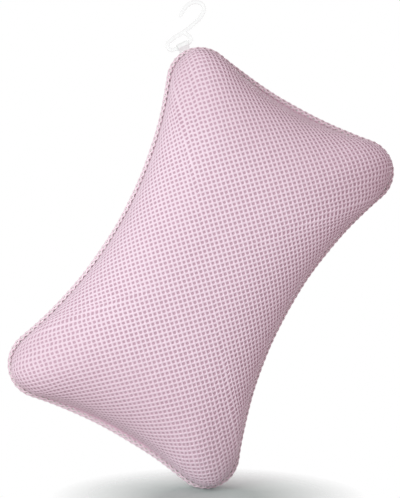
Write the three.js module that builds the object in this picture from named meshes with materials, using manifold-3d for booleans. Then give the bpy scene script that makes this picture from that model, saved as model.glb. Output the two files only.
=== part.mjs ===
// Bath pillow of air-mesh cloth: two crowned panels sewn together over a corded piping, a fibre filling,
// a hook on a ribbon loop at one corner, and suction cups on the back.
// Millimetres. +X along the pillow, +Z across it (up on the tub), the face towards -Y.
// The origin is the middle of the plane that the suction cups' rims stick to.
import * as THREE from 'three';
import { mergeVertices } from 'three/addons/utils/BufferGeometryUtils.js';
import Module from 'manifold-3d';

const wasm = await Module();
wasm.setup();

// Outline over the piping
const LENGTH = 310;
const WIDTH = 201;
const CORNER_RADIUS = 27;
const SIDE_DIP = 24; // how far the long sides draw in at their middle
const END_DIP = 6.8; // how far the short sides draw in

// Cloth and crown
const CLOTH = 4; // thickness of the air mesh
const FRONT_CROWN = 46; // from the seam plane to the middle of the face
const BACK_CROWN = 32;
const CROWN_POWER = 0.5; // how round the crown falls to the seam
const RIM_FADE = 4; // how close to the seam the crown's edge settles on it
const FRONT_FLATNESS = 1.5;
const BACK_FLATNESS = 1.8; // flatter, where it rests on the tub
const SIDE_BULGE = 5.5; // how far the stuffed long sides swell out over the seam
const END_BULGE = 0.5; // the same at the short sides
const CORNER_BULGE = 5.5; // and at the corners
const CORNER_TIP = 0.5; // by how much of itself the last grows at a corner's tip
const BULGE_LEVEL = 0.8; // the swelling is widest somewhat under half of the crown

// Piping
const PIPING_DIAMETER = 4.2;
const CORD_DIAMETER = 2.2;
const FLANGE_WIDTH = 6;
const FLANGE_THICKNESS = 1.2;
const FILLING_CLEARANCE = 1; // its sides swell out past the flange's edge
const PIPING_JOIN = 1; // between the two ends, at the middle of the lower side

// Suction cups
const CUP_SPACING_X = 144;
const CUP_SPACING_Z = 72;
const CUP_DIAMETER = 46;
const CUP_HEIGHT = 13; // from the eyelet to the rim
const BOWL_DEPTH = 8;
const RIM_WIDTH = 2;
const RIM_HEIGHT = 1;
const COLLAR_DIAMETER = 16;
const COLLAR_HEIGHT = 2;
const NECK_DIAMETER = 7;
const NECK_CLEARANCE = 0.5; // round the neck in the eyelet and the disc
const CLOTH_CLEARANCE = 1.5; // round the neck in the mesh
const HEAD_DIAMETER = 14;
const HEAD_HEIGHT = 4;
const HEAD_ROUNDING = 2; // inside edge of the head
const TAB = { width: 9, reach: 6, thickness: 1.4 };

// Bound eyelet outside each hole and backing disc inside it
const EYELET_DIAMETER = 16;
const EYELET_THICKNESS = 1.5;
const DISC_DIAMETER = 18;
const DISC_THICKNESS = 1.2;
const SEAT_SINK = 0.8; // the binding presses the mesh this far down
const SEAT_WEB = 2; // cloth left between eyelet and disc

// Ribbon loop and hook
const LOOP_ANGLE = 55 * Math.PI / 180; // place on the corner, from +X
const RIBBON_WIDTH = 9;
const RIBBON_THICKNESS = 0.6;
const HOOK_DIAMETER = 3.4;
const TAIL_END = 1; // how far the sewn ribbon shows inside the mesh
const LOOP_RISE = 0.9; // the ribbon bends this far outside the piping
const BAR_RISE = 3.6; // from that bend to the hook's eye bar
const BAR_SPARE = 1.5; // eye bar past the ribbon at either side
const HOOK_HEIGHT = 27.8; // from the eye bar to the crown

const GAP = 0.3;
const DOME_RINGS = 8;
const ROUND_STEPS = 20;
const SEAT_STEPS = 8; // sides of the holes and hollows in the cloth and the filling

const CLOTH_PINK = 0xdcb4c4;
const PIPING_PINK = 0xe6c6d3;
const WHITE = 0xf4f2f0;
const CLEAR = 0xe9eef0;

const seamInset = PIPING_DIAMETER + GAP;
const leastDepth = GAP / 10; // keeps the blend of distances finite at the seam
const rimHeight = FLANGE_THICKNESS / 2 + GAP;
const corner = { x: LENGTH / 2 - CORNER_RADIUS, z: WIDTH / 2 - CORNER_RADIUS };

function dippedRadius(halfSpan, dip) {
  // Radius of the hollow arc that meets both corner arcs smoothly
  return (halfSpan ** 2 - 2 * CORNER_RADIUS * dip + dip ** 2) / (2 * dip);
}

const sideRadius = dippedRadius(corner.x, SIDE_DIP);
const endRadius = dippedRadius(corner.z, END_DIP);
const sideCentre = WIDTH / 2 - SIDE_DIP + sideRadius;
const endCentre = LENGTH / 2 - END_DIP + endRadius;

function outlineStations() {
  // Points round the outline with their outward normals, anticlockwise from the middle of the lower side
  const sideAngle = Math.atan2(sideCentre - corner.z, corner.x);
  const endAngle = Math.atan2(corner.z, endCentre - corner.x);
  const arcs = [
    { x: 0, z: -sideCentre, radius: sideRadius, from: Math.PI - sideAngle, to: sideAngle, out: -1, steps: 8 },
    { x: corner.x, z: -corner.z, radius: CORNER_RADIUS, from: sideAngle - Math.PI, to: endAngle, out: 1, steps: 7 },
    { x: endCentre, z: 0, radius: endRadius, from: Math.PI + endAngle, to: Math.PI - endAngle, out: -1, steps: 4 },
    { x: corner.x, z: corner.z, radius: CORNER_RADIUS, from: -endAngle, to: Math.PI - sideAngle, out: 1, steps: 7 },
  ];
  const stations = [];
  for (const half of [1, -1]) {
    for (const arc of arcs) {
      for (let i = 0; i < arc.steps; i++) {
        const angle = arc.from + (arc.to - arc.from) * i / arc.steps;
        const cos = Math.cos(angle);
        const sin = Math.sin(angle);
        stations.push({
          x: half * (arc.x + arc.radius * cos),
          z: half * (arc.z + arc.radius * sin),
          nx: half * arc.out * cos,
          nz: half * arc.out * sin,
        });
      }
    }
  }
  const middle = arcs[0].steps / 2;
  return [...stations.slice(middle), ...stations.slice(0, middle)];
}

const stations = outlineStations();

function outlineRing(inset, scale, y) {
  return stations.map((p) => new THREE.Vector3((p.x - inset * p.nx) * scale, y, (p.z - inset * p.nz) * scale));
}

function depthInside(x, z) {
  // How deep a point lies inside the seam, blended from its distances to the four sides
  const distances = [
    Math.hypot(x, z - sideCentre) - sideRadius,
    Math.hypot(x, z + sideCentre) - sideRadius,
    Math.hypot(x - endCentre, z) - endRadius,
    Math.hypot(x + endCentre, z) - endRadius,
  ];
  return distances.reduce((sum, d) => sum + Math.max(d - seamInset, leastDepth) ** -2, 0) ** -0.5;
}

function fullness(seamPoint, scale) {
  // 1 in the middle and 0 at the seam, rounding over as stuffed cloth does
  const rim = depthInside(seamPoint.x, seamPoint.z) * scale ** RIM_FADE;
  const depth = depthInside(seamPoint.x * scale, seamPoint.z * scale) - rim;
  return THREE.MathUtils.clamp(depth / depthInside(0, 0), 0, 1) ** CROWN_POWER;
}

function domeRings(inset, height, base, flatness) {
  // Rings from the middle of the dome out to its edge, closer together towards the edge
  const seam = outlineRing(seamInset, 1, 0);
  const rings = [[new THREE.Vector3(0, base + height, 0)]];
  for (let k = 1; k <= DOME_RINGS; k++) {
    const scale = k === DOME_RINGS ? 1 : Math.sin(k / DOME_RINGS * Math.PI / 2);
    const ring = outlineRing(inset, scale, base);
    ring.forEach((p, i) => {
      const { nx, nz } = stations[i];
      const rise = 1 - (1 - fullness(seam[i], scale)) ** flatness;
      const atSides = SIDE_BULGE * nz ** 2 + END_BULGE * nx ** 2;
      const atCorners = CORNER_BULGE * (1 + CORNER_TIP * (2 * nx * nz) ** 2);
      const inCorner = Math.min((seam[i].x * seam[i].z / (corner.x * corner.z)) ** 2, 1);
      const swelling = THREE.MathUtils.lerp(atSides, atCorners, inCorner);
      const bulge = swelling * Math.sin(Math.PI * rise ** BULGE_LEVEL);
      p.add(new THREE.Vector3(bulge * nx, height * rise, bulge * nz));
    });
    rings.push(ring);
  }
  return rings;
}

function closedGeometry(points, triangles) {
  // Faces turned outwards, whichever way round they were listed
  let volume = 0;
  for (const [a, b, c] of triangles) {
    volume += points[a].dot(new THREE.Vector3().crossVectors(points[b], points[c]));
  }
  const index = triangles.flatMap(([a, b, c]) => (volume > 0 ? [a, b, c] : [a, c, b]));
  const geometry = new THREE.BufferGeometry().setFromPoints(points);
  geometry.setIndex(index);
  return geometry;
}

function loft(rings) {
  // A skin over rings of points that begins and ends at a single point
  const points = rings.flat();
  const triangles = [];
  let start = 0;
  for (let k = 0; k + 1 < rings.length; k++) {
    const here = rings[k].length;
    const next = rings[k + 1].length;
    const nextStart = start + here;
    const count = Math.max(here, next);
    for (let i = 0; i < count; i++) {
      const j = (i + 1) % count;
      if (next > 1) triangles.push([start + i % here, nextStart + i, nextStart + j]);
      if (here > 1) triangles.push([start + i, nextStart + j % next, start + j]);
    }
    start = nextStart;
  }
  return closedGeometry(points, triangles);
}

function sweep(section, hole, frames) {
  // A section in (outwards, y) carried along frames and closed at both ends; a hole is listed clockwise
  const loops = [...section, ...hole];
  const points = [];
  const triangles = [];
  for (const f of frames) {
    for (const p of loops) points.push(new THREE.Vector3(f.x + p.x * f.nx, p.y, f.z + p.x * f.nz));
  }
  const last = (frames.length - 1) * loops.length;
  for (let k = 0; k < last; k += loops.length) {
    loops.forEach((_, i) => {
      const inSection = i < section.length;
      const first = inSection ? 0 : section.length;
      const count = inSection ? section.length : hole.length;
      const j = first + (i - first + 1) % count;
      triangles.push([k + i, k + j, k + j + loops.length], [k + i, k + j + loops.length, k + i + loops.length]);
    });
  }
  for (const [a, b, c] of THREE.ShapeUtils.triangulateShape(section, hole.length ? [hole] : [])) {
    triangles.push([c, b, a], [last + a, last + b, last + c]);
  }
  return closedGeometry(points, triangles);
}

function circle(centreX, radius, count) {
  return Array.from({ length: count }, (_, i) => {
    const angle = 2 * Math.PI * i / count;
    return new THREE.Vector2(centreX + radius * Math.cos(angle), radius * Math.sin(angle));
  });
}

function toSolid(geometry) {
  const plain = geometry.clone();
  plain.deleteAttribute('normal');
  plain.deleteAttribute('uv');
  const merged = mergeVertices(plain, 1e-4);
  const vertProperties = new Float32Array(merged.attributes.position.array);
  const triVerts = new Uint32Array(merged.index.array);
  return new wasm.Manifold(new wasm.Mesh({ numProp: 3, vertProperties, triVerts }));
}

function fromSolid(solid) {
  const mesh = solid.getMesh();
  const geometry = new THREE.BufferGeometry();
  geometry.setAttribute('position', new THREE.BufferAttribute(new Float32Array(mesh.vertProperties), 3));
  geometry.setIndex(new THREE.BufferAttribute(new Uint32Array(mesh.triVerts), 1));
  return geometry;
}

function cut(geometry, cutters) {
  return fromSolid(cutters.reduce((body, cutter) => body.subtract(toSolid(cutter)), toSolid(geometry)));
}

function drum(diameter, fromY, toY) {
  // A cylinder along Y whose flat sides just clear the diameter
  const radius = diameter / 2 / Math.cos(Math.PI / SEAT_STEPS);
  const geometry = new THREE.CylinderGeometry(radius, radius, toY - fromY, SEAT_STEPS);
  return geometry.translate(0, (fromY + toY) / 2, 0);
}

function washer(outer, bore, fromY, toY) {
  const profile = [
    [bore / 2, fromY], [outer / 2, fromY], [outer / 2, toY], [bore / 2, toY], [bore / 2, fromY],
  ].map(([r, y]) => new THREE.Vector2(r, y));
  return new THREE.LatheGeometry(profile, ROUND_STEPS);
}

function part(name, geometry, colour) {
  const material = new THREE.MeshStandardMaterial({ color: colour, roughness: 0.8 });
  const mesh = new THREE.Mesh(geometry, material);
  mesh.name = name;
  return mesh;
}

// Panels, closed shells that meet the piping's flange with a flat rim
function panelShell(crown, flatness) {
  const height = crown - rimHeight;
  const outside = domeRings(seamInset, height, rimHeight, flatness);
  const inside = domeRings(seamInset + CLOTH, height - CLOTH, rimHeight, flatness);
  return loft([...outside, ...inside.reverse()]);
}

const frontShell = panelShell(FRONT_CROWN, FRONT_FLATNESS);
const backShell = panelShell(BACK_CROWN, BACK_FLATNESS);

function backHeight(x, z) {
  const ray = new THREE.Raycaster(new THREE.Vector3(x, 2 * BACK_CROWN, z), new THREE.Vector3(0, -1, 0));
  return ray.intersectObject(new THREE.Mesh(backShell))[0].point.y;
}

// Heights along Y of what is stacked at each suction cup, from the seam plane back to the tub wall
const cupX = CUP_SPACING_X / 2;
const cupZ = CUP_SPACING_Z / 2;
const outerEdge = 1 + EYELET_DIAMETER / 2 / Math.hypot(cupX, cupZ);
const seatY = backHeight(cupX * outerEdge, cupZ * outerEdge) - SEAT_SINK;
const webY = seatY - SEAT_WEB;
const eyeletY = seatY + GAP;
const collarY = eyeletY + EYELET_THICKNESS + GAP;
const discY = webY - GAP - DISC_THICKNESS;
const headTopY = discY - GAP;
const headY = headTopY - HEAD_HEIGHT;
const wallY = collarY + CUP_HEIGHT;

const cupPlaces = [[-1, 1], [1, 1], [-1, -1], [1, -1]].map(([sx, sz]) => ({ x: sx * cupX, z: sz * cupZ }));

// The hanger stands on one corner: in it +Z points out of the corner and +X along its edge
const hanger = new THREE.Group();
hanger.position.set(
  corner.x + CORNER_RADIUS * Math.cos(LOOP_ANGLE), 0, corner.z + CORNER_RADIUS * Math.sin(LOOP_ANGLE));
hanger.rotation.y = Math.PI / 2 - LOOP_ANGLE;
hanger.updateMatrix();

const tailThickness = 2 * RIBBON_THICKNESS;
const tailFrontY = PIPING_DIAMETER / 2 + GAP;
const ribbonY = tailFrontY + tailThickness / 2;
const tailTop = LOOP_RISE - tailThickness / 2 - GAP;
const tailBottom = -(seamInset + CLOTH + TAIL_END);
const barZ = LOOP_RISE + BAR_RISE;

function ribbonBlock(clearance) {
  const width = RIBBON_WIDTH + 2 * clearance;
  const depth = tailThickness + 2 * clearance;
  const length = tailTop - tailBottom + 2 * clearance;
  return new THREE.BoxGeometry(width, depth, length).translate(0, ribbonY, (tailTop + tailBottom) / 2);
}

const frontPanel = part('front_panel', frontShell, CLOTH_PINK);
frontPanel.rotation.z = Math.PI; // turns the face to -Y

const backCutters = [ribbonBlock(GAP).applyMatrix4(hanger.matrix)];
for (const { x, z } of cupPlaces) {
  backCutters.push(
    drum(NECK_DIAMETER + 2 * CLOTH_CLEARANCE, webY - CLOTH, seatY + CLOTH).translate(x, 0, z),
    drum(EYELET_DIAMETER + 2 * GAP, seatY, seatY + CLOTH).translate(x, 0, z),
    drum(DISC_DIAMETER + 2 * GAP, webY - CLOTH, webY).translate(x, 0, z));
}
const backPanel = part('back_panel', cut(backShell, backCutters), CLOTH_PINK);

// Filling, hollowed where the cups' heads and backing discs press into it
const fillInset = seamInset + FLANGE_WIDTH + FILLING_CLEARANCE;
const fillFront = domeRings(fillInset, -(FRONT_CROWN - CLOTH - GAP), 0, FRONT_FLATNESS);
const fillBack = domeRings(fillInset, BACK_CROWN - CLOTH - GAP, 0, BACK_FLATNESS);
const pockets = cupPlaces.map(({ x, z }) =>
  drum(DISC_DIAMETER + 2 * GAP, headY - GAP, BACK_CROWN).translate(x, 0, z));
const filling = part('filling', cut(loft([...fillFront, ...fillBack.slice(0, -1).reverse()]), pockets), WHITE);

// Piping: a strip folded round a cord, with its two edges left as a flange between the panels
function pipingFrames() {
  const frames = [...stations, stations[0]].map((p) => ({ ...p }));
  frames[0].x += PIPING_JOIN / 2;
  frames[frames.length - 1].x -= PIPING_JOIN / 2;
  return frames;
}

function pipingSection() {
  const radius = PIPING_DIAMETER / 2;
  const half = FLANGE_THICKNESS / 2;
  const neck = Math.asin(half / radius);
  const section = [];
  const steps = 9;
  for (let i = 0; i <= steps; i++) {
    const angle = -Math.PI + neck + (2 * Math.PI - 2 * neck) * i / steps;
    section.push(new THREE.Vector2(-radius + radius * Math.cos(angle), radius * Math.sin(angle)));
  }
  const inner = -(seamInset + FLANGE_WIDTH);
  section.push(new THREE.Vector2(inner, half), new THREE.Vector2(inner, -half));
  return section;
}

const pipingBore = circle(-PIPING_DIAMETER / 2, CORD_DIAMETER / 2 + GAP, 8).reverse();
const cordSection = circle(-PIPING_DIAMETER / 2, CORD_DIAMETER / 2, 6);
const pipingCover = part('piping_cover', sweep(pipingSection(), pipingBore, pipingFrames()), PIPING_PINK);
const pipingCord = part('piping_cord', sweep(cordSection, [], pipingFrames()), WHITE);

// Suction cup along Y: head inside the pillow, neck, collar, then a bell with a hollow bowl
function suctionCup(tabAngle) {
  const rim = CUP_DIAMETER / 2;
  const collar = COLLAR_DIAMETER / 2;
  const neck = NECK_DIAMETER / 2;
  const head = HEAD_DIAMETER / 2;
  const bellTop = collarY + COLLAR_HEIGHT;
  const profile = [
    [0, headY], [head - HEAD_ROUNDING, headY], [head, headY + HEAD_ROUNDING], [head, headTopY],
    [neck, headTopY], [neck, collarY], [collar, collarY],
  ];
  const bellSteps = 4;
  const bellFlare = 1.2;
  for (let i = 0; i <= bellSteps; i++) {
    const t = i / bellSteps;
    profile.push([collar + (rim - collar) * t, bellTop + (wallY - RIM_HEIGHT - bellTop) * t ** bellFlare]);
  }
  profile.push([rim, wallY]);
  const bowl = rim - RIM_WIDTH;
  const bowlSteps = 5;
  for (let i = bowlSteps; i >= 0; i--) {
    const t = i / bowlSteps;
    profile.push([bowl * t, wallY - BOWL_DEPTH * (1 - t ** 2)]);
  }
  const bell = new THREE.LatheGeometry(profile.map(([r, y]) => new THREE.Vector2(r, y)), ROUND_STEPS);
  const overlap = RIM_WIDTH / 2;
  const tab = new THREE.BoxGeometry(TAB.reach + overlap, TAB.thickness, TAB.width);
  tab.translate(rim - overlap + (TAB.reach + overlap) / 2, wallY - RIM_HEIGHT / 2 - TAB.thickness / 2, 0);
  tab.rotateY(-tabAngle);
  return fromSolid(toSolid(bell).add(toSolid(tab)));
}

const cupParts = cupPlaces.flatMap(({ x, z }, i) => {
  const number = i + 1;
  const bore = NECK_DIAMETER + 2 * NECK_CLEARANCE;
  const pieces = [
    part(`suction_cup_${number}`, suctionCup(Math.atan2(z, x)), CLEAR),
    part(`eyelet_${number}`, washer(EYELET_DIAMETER, bore, eyeletY, eyeletY + EYELET_THICKNESS), PIPING_PINK),
    part(`backing_disc_${number}`, washer(DISC_DIAMETER, bore, discY, discY + DISC_THICKNESS), WHITE),
  ];
  pieces.forEach((piece) => piece.position.set(x, 0, z));
  return pieces;
});

// Ribbon: its sewn tail runs behind the piping into the back panel, and its bight goes round the hook's bar
const loopTail = part('loop_tail', ribbonBlock(0), WHITE);

function ribbonBight() {
  const half = tailThickness / 2;
  const bore = HOOK_DIAMETER / 2 + GAP;
  const outer = bore + RIBBON_THICKNESS;
  const join = Math.asin(half / outer);
  const side = new THREE.Shape();
  side.absarc(0, 0, half, Math.PI, 2 * Math.PI, false);
  side.absarc(0, BAR_RISE, outer, -Math.PI / 2 + join, 1.5 * Math.PI - join, false);
  side.holes.push(new THREE.Path().absarc(0, BAR_RISE, bore, 0, 2 * Math.PI, true));
  const bight = new THREE.ExtrudeGeometry(side, { depth: RIBBON_WIDTH, bevelEnabled: false, curveSegments: 8 });
  // Drawn in (depth, outwards) and pushed along the ribbon's width
  const axes = new THREE.Matrix4().makeBasis(
    new THREE.Vector3(0, 1, 0), new THREE.Vector3(0, 0, 1), new THREE.Vector3(1, 0, 0));
  return bight.applyMatrix4(axes).translate(-RIBBON_WIDTH / 2, ribbonY, LOOP_RISE);
}

const hangLoop = part('hang_loop', ribbonBight(), WHITE);

// Hook, a round rod bent like a figure 2 whose lower end closes into the eye that the ribbon goes round
const barEnd = RIBBON_WIDTH / 2 + BAR_SPARE;
const barSpan = barEnd / HOOK_HEIGHT;

function rod(waypoints, steps) {
  // Waypoints are (along the edge, outwards) from the middle of the eye bar, in parts of the hook's height
  const way = waypoints.map(([x, z]) => new THREE.Vector3(x * HOOK_HEIGHT, ribbonY, barZ + z * HOOK_HEIGHT));
  const curve = new THREE.CatmullRomCurve3(way, false, 'centripetal');
  const section = new THREE.Shape(circle(0, HOOK_DIAMETER / 2, 10));
  return toSolid(new THREE.ExtrudeGeometry(section, { steps, extrudePath: curve, bevelEnabled: false }));
}

const eyeCorner = [barSpan + 0.08, 0.058];
const hookRod = rod([
  [0.325, 0.81], [0.505, 0.935], [0.737, 1], [0.953, 0.935], [1.036, 0.755], [0.88, 0.56], [0.6, 0.445],
  [0.25, 0.355], [-0.18, 0.295], [-barSpan - 0.165, 0.216], [-barSpan - 0.172, 0.058],
  [-barSpan, 0], [0, 0], [barSpan, 0], eyeCorner,
], 56);
const eyeEnd = rod([
  [barSpan - 0.035, 0], [barSpan + 0.03, 0.018], eyeCorner, [barSpan + 0.058, 0.18], [barSpan - 0.036, 0.345],
], 14);
const hook = part('hang_hook', fromSolid(hookRod.add(eyeEnd)), CLEAR);

hanger.add(loopTail, hangLoop, hook);

const pillow = new THREE.Group();
pillow.add(frontPanel, backPanel, filling, pipingCover, pipingCord, ...cupParts, hanger);
pillow.position.y = -wallY;

const object = new THREE.Group();
object.add(pillow);

export default object;
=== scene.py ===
"""Bath pillow of pink air mesh: a stuffed body under two knitted covers, corded piping round the seam,
a clear hook on a ribbon at one corner and four clear suction cups behind. Metres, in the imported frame."""
from math import atan2, cos, pi, radians, sin, sqrt
from types import SimpleNamespace

import bpy
import numpy as np
from mathutils import Matrix, Vector
from mathutils.bvhtree import BVHTree


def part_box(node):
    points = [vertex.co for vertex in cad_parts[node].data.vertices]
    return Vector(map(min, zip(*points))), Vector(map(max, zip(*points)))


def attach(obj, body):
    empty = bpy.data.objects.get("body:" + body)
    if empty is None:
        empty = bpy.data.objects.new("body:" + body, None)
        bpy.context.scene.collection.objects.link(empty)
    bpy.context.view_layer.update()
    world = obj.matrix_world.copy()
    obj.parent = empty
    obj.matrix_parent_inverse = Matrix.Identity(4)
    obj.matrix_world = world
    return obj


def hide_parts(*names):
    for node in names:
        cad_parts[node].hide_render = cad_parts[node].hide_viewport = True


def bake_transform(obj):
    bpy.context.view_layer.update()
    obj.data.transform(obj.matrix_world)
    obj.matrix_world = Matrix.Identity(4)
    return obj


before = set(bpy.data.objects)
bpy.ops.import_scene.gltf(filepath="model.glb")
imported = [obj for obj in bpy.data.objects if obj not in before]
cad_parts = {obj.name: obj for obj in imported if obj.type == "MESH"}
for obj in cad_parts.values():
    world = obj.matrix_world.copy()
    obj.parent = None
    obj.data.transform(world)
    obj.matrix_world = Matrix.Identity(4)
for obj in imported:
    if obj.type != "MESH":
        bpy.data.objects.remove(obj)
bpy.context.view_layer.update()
scene = bpy.context.scene

MM = 0.001

# Outline over the piping and shape of the crowns, as in the part's source
LENGTH = 310 * MM
WIDTH = 201 * MM
CORNER_RADIUS = 27 * MM
SIDE_DIP = 24 * MM
END_DIP = 6.8 * MM
CROWN_POWER = 0.5
RIM_FADE = 4
FRONT_FLATNESS = 1.5
BACK_FLATNESS = 1.8
BULGE_LEVEL = 0.8
SIDE_BULGE = 5.5 * MM
END_BULGE = 0.5 * MM
CORNER_BULGE = 5.5 * MM
CORNER_TIP = 0.5
PIPING_RADIUS = 2.1 * MM
SEAM_INSET = 4.5 * MM
RIM_HEIGHT = 0.9 * MM
GAP = 0.3 * MM

# Heights along Y that the frame gives
piping_low, piping_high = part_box("piping_cover")
SEAM_Y = (piping_low.y + piping_high.y) / 2
FRONT_CROWN = SEAM_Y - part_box("front_panel")[0].y
BACK_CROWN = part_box("back_panel")[1].y - SEAM_Y

# Air mesh: square cells turned 45 degrees to the pillow, each with one hole
CELL = 3.55 * MM
HALF_DIAGONAL = CELL / sqrt(2)
HOLE_TO_SIDE = 1.12 * MM  # from the middle of a hole towards the middle of a cell's side
HOLE_ALONG = 1.45 * MM  # towards the knots that lie along the pillow
HOLE_ACROSS = 1.3 * MM  # and towards those that lie across it
HOLE_DEPTH = 0.25 * MM
HOLE_TAPER = 0.88  # a hole's bottom to its upper edge
HOLE_UNEVENNESS = 0.07
KNOT_RISE = 0.36 * MM
STRAND_RISE = (0.42 * MM, 0.12 * MM)  # the strands of one direction lie over those of the other
BODY_CLEARANCE = 0.33 * MM  # from the stuffed body up to the holes' upper edges
COVER_GIVE = 3 * MM  # how far the stuffed body may stray from the covers' cut shape
COVER_EDGE = 0.999  # cells with middles further out than this share of the way to the seam are left off
SEAM_TIGHTNESS = 24  # the higher, the narrower the strip along the seam that the body doesn't press out

# Stuffed body and its simulation
BODY_VOXEL = 5 * MM
BODY_SHRINK = 4 * MM
SWELL_LIMIT = 5 * MM
SWELL_FRAMES = 20
SEAM_HOLD = 3 * MM
SEAM_REACH = 12 * MM  # within this of the seam the body follows the covers' cut shape more closely

# Painted shade: the mesh's colour darkens along the pillow between these distances from its middle, so that
# its ends look less lit
END_SHADE_START = 60 * MM
END_SHADE_FULL = 125 * MM
END_SHADE_SHARE = 0.5

# Seats of the suction cups in the back cover
CUPS = (1, 2, 3, 4)
SEAT_HOLE = 6.5 * MM
SEAT_FLAT = 9 * MM
SEAT_REACH = 20 * MM

# Piping
PIPING_ROUND = 6  # half diagonals of the mesh round the piping
PIPING_HOLE_DEPTH = 0.5 * MM
PIPING_RELIEF = 0.8  # rise of its strands and knots to those of the covers
PIPING_SLACK = 0.08 * MM
SLACK_WAVES = (7.3 * MM, 11.9 * MM)
FLANGE_WIDTH = 6 * MM
FLANGE_THICKNESS = 1.6 * MM
CORD_RADIUS = 1.1 * MM
CORD_LAY = 9 * MM  # length of one turn of its three strands
CORD_GROOVE = 0.18  # depth of the grooves between them to the radius

# Suction cups
CUP_RADIUS = 23 * MM
CUP_TURNS = 80
BOWL_DEPTH = 8 * MM
BOWL_RIM = 2 * MM
CUP_RIM_HEIGHT = 1 * MM
COLLAR_RADIUS = 8 * MM
COLLAR_HEIGHT = 2 * MM
NECK_RADIUS = 3.5 * MM
HEAD_RADIUS = 7 * MM
BELL_FLARE = 1.2
TAB_WIDTH = 9 * MM
TAB_REACH = 6 * MM
NECK_CLEARANCE = 0.5 * MM
EYELET_WRAPS = 56
THREAD_GROOVE = 0.13

# Ribbon loop and hook on the corner
LOOP_ANGLE = radians(55)
RIBBON_WIDTH = 9 * MM
RIBBON_THICKNESS = 0.6 * MM
RIBBON_WRAP = radians(242)  # turn over which it lies round the hook's bar
PLY_GAP = 0.06 * MM  # between its two plies
TAIL_DEPTH = 9.5 * MM
LOOP_RISE = 0.9 * MM
BAR_RISE = 3.6 * MM
BAR_SPARE = 1.5 * MM
BAR_PLAY = 0.42 * MM  # room for the bar to turn in the ribbon
HOOK_RADIUS = 1.7 * MM
HOOK_HEIGHT = 27.8 * MM
HOOK_VOXEL = 0.35 * MM


def select_only(*pieces):
    bpy.ops.object.select_all(action="DESELECT")
    for piece in pieces:
        piece.select_set(True)
    bpy.context.view_layer.objects.active = pieces[0]


def mesh_piece(name, points, faces, edges=()):
    mesh = bpy.data.meshes.new(name)
    mesh.from_pydata(np.asarray(points).tolist(), list(edges), [tuple(map(int, face)) for face in faces])
    mesh.validate()
    piece = bpy.data.objects.new(name, mesh)
    scene.collection.objects.link(piece)
    return piece


def copy_of(piece, name):
    copy = bpy.data.objects.new(name, piece.data.copy())
    copy.data.name = name
    scene.collection.objects.link(copy)
    return copy


def points_of(piece):
    flat = np.zeros(len(piece.data.vertices) * 3)
    piece.data.vertices.foreach_get("co", flat)
    return flat.reshape(-1, 3)


def set_points(piece, points):
    piece.data.vertices.foreach_set("co", np.asarray(points, np.float32).ravel())
    piece.data.update()


def apply_modifier(piece, kind, **settings):
    select_only(piece)
    modifier = piece.modifiers.new(kind, kind)
    for name, value in settings.items():
        setattr(modifier, name, value)
    bpy.ops.object.modifier_apply(modifier=modifier.name)


def clean_up(piece):
    """Merges doubles and turns all faces outwards."""
    select_only(piece)
    bpy.ops.object.mode_set(mode="EDIT")
    bpy.ops.mesh.select_all(action="SELECT")
    bpy.ops.mesh.remove_doubles(threshold=0.01 * MM)
    bpy.ops.mesh.normals_make_consistent(inside=False)
    bpy.ops.object.mode_set(mode="OBJECT")


def shade_smooth(piece, angle=None):
    select_only(piece)
    if angle is None:
        bpy.ops.object.shade_smooth()
    else:
        bpy.ops.object.shade_smooth_by_angle(angle=angle)


def ease(low, high, value):
    """0 below low and 1 above high, with a smooth step between."""
    t = np.clip((value - low) / (high - low), 0, 1)
    return t * t * (3 - 2 * t)


# Outline: four corner arcs joined by hollow sides
corner_x = LENGTH / 2 - CORNER_RADIUS
corner_z = WIDTH / 2 - CORNER_RADIUS


def dipped_radius(half_span, dip):
    return (half_span**2 - 2 * CORNER_RADIUS * dip + dip**2) / (2 * dip)


side_radius = dipped_radius(corner_x, SIDE_DIP)
end_radius = dipped_radius(corner_z, END_DIP)
side_centre = WIDTH / 2 - SIDE_DIP + side_radius
end_centre = LENGTH / 2 - END_DIP + end_radius


def outline(inset, spacing=2 * MM):
    """Points (x, z) round the pillow with outward normals, from the middle of the lower side towards +X."""
    side_angle = atan2(side_centre - corner_z, corner_x)
    end_angle = atan2(corner_z, end_centre - corner_x)
    arcs = [
        (0, -side_centre, side_radius, pi / 2, side_angle, -1),
        (corner_x, -corner_z, CORNER_RADIUS, side_angle - pi, end_angle, 1),
        (end_centre, 0, end_radius, pi + end_angle, pi - end_angle, -1),
        (corner_x, corner_z, CORNER_RADIUS, -end_angle, pi - side_angle, 1),
        (0, side_centre, side_radius, -side_angle, -pi / 2, -1),
    ]
    points, normals = [], []
    for x, z, radius, start, end, facing in arcs:
        steps = max(2, round(abs(end - start) * radius / spacing))
        angle = np.linspace(start, end, steps, endpoint=False)
        ray = np.stack([np.cos(angle), np.sin(angle)], 1)
        normals.append(facing * ray)
        points.append(np.array([x, z]) + radius * ray)
    points, normals = np.concatenate(points), np.concatenate(normals)
    points = points - inset * normals
    return np.concatenate([points, -points]), np.concatenate([normals, -normals])


seam_points, seam_normals = outline(SEAM_INSET)
seam_angles = np.arctan2(seam_points[:, 1], seam_points[:, 0])
seam_radii = np.hypot(seam_points[:, 0], seam_points[:, 1])


def round_seam(angle, values):
    return np.interp(angle, seam_angles, values, period=2 * pi)


def depth_inside(x, z):
    """How deep a point lies inside the seam, blended from its distances to the four sides."""
    distances = [
        np.hypot(x, z - side_centre) - side_radius,
        np.hypot(x, z + side_centre) - side_radius,
        np.hypot(x - end_centre, z) - end_radius,
        np.hypot(x + end_centre, z) - end_radius,
    ]
    least = GAP / 10
    return sum(np.maximum(d - SEAM_INSET, least) ** -2.0 for d in distances) ** -0.5


def triangle_areas(corners):
    """Twice the areas of flat triangles, from corner arrays of (u, v) points."""
    first, second, third = corners
    one, other = second - first, third - first
    return one[:, 0] * other[:, 1] - one[:, 1] * other[:, 0]


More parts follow.
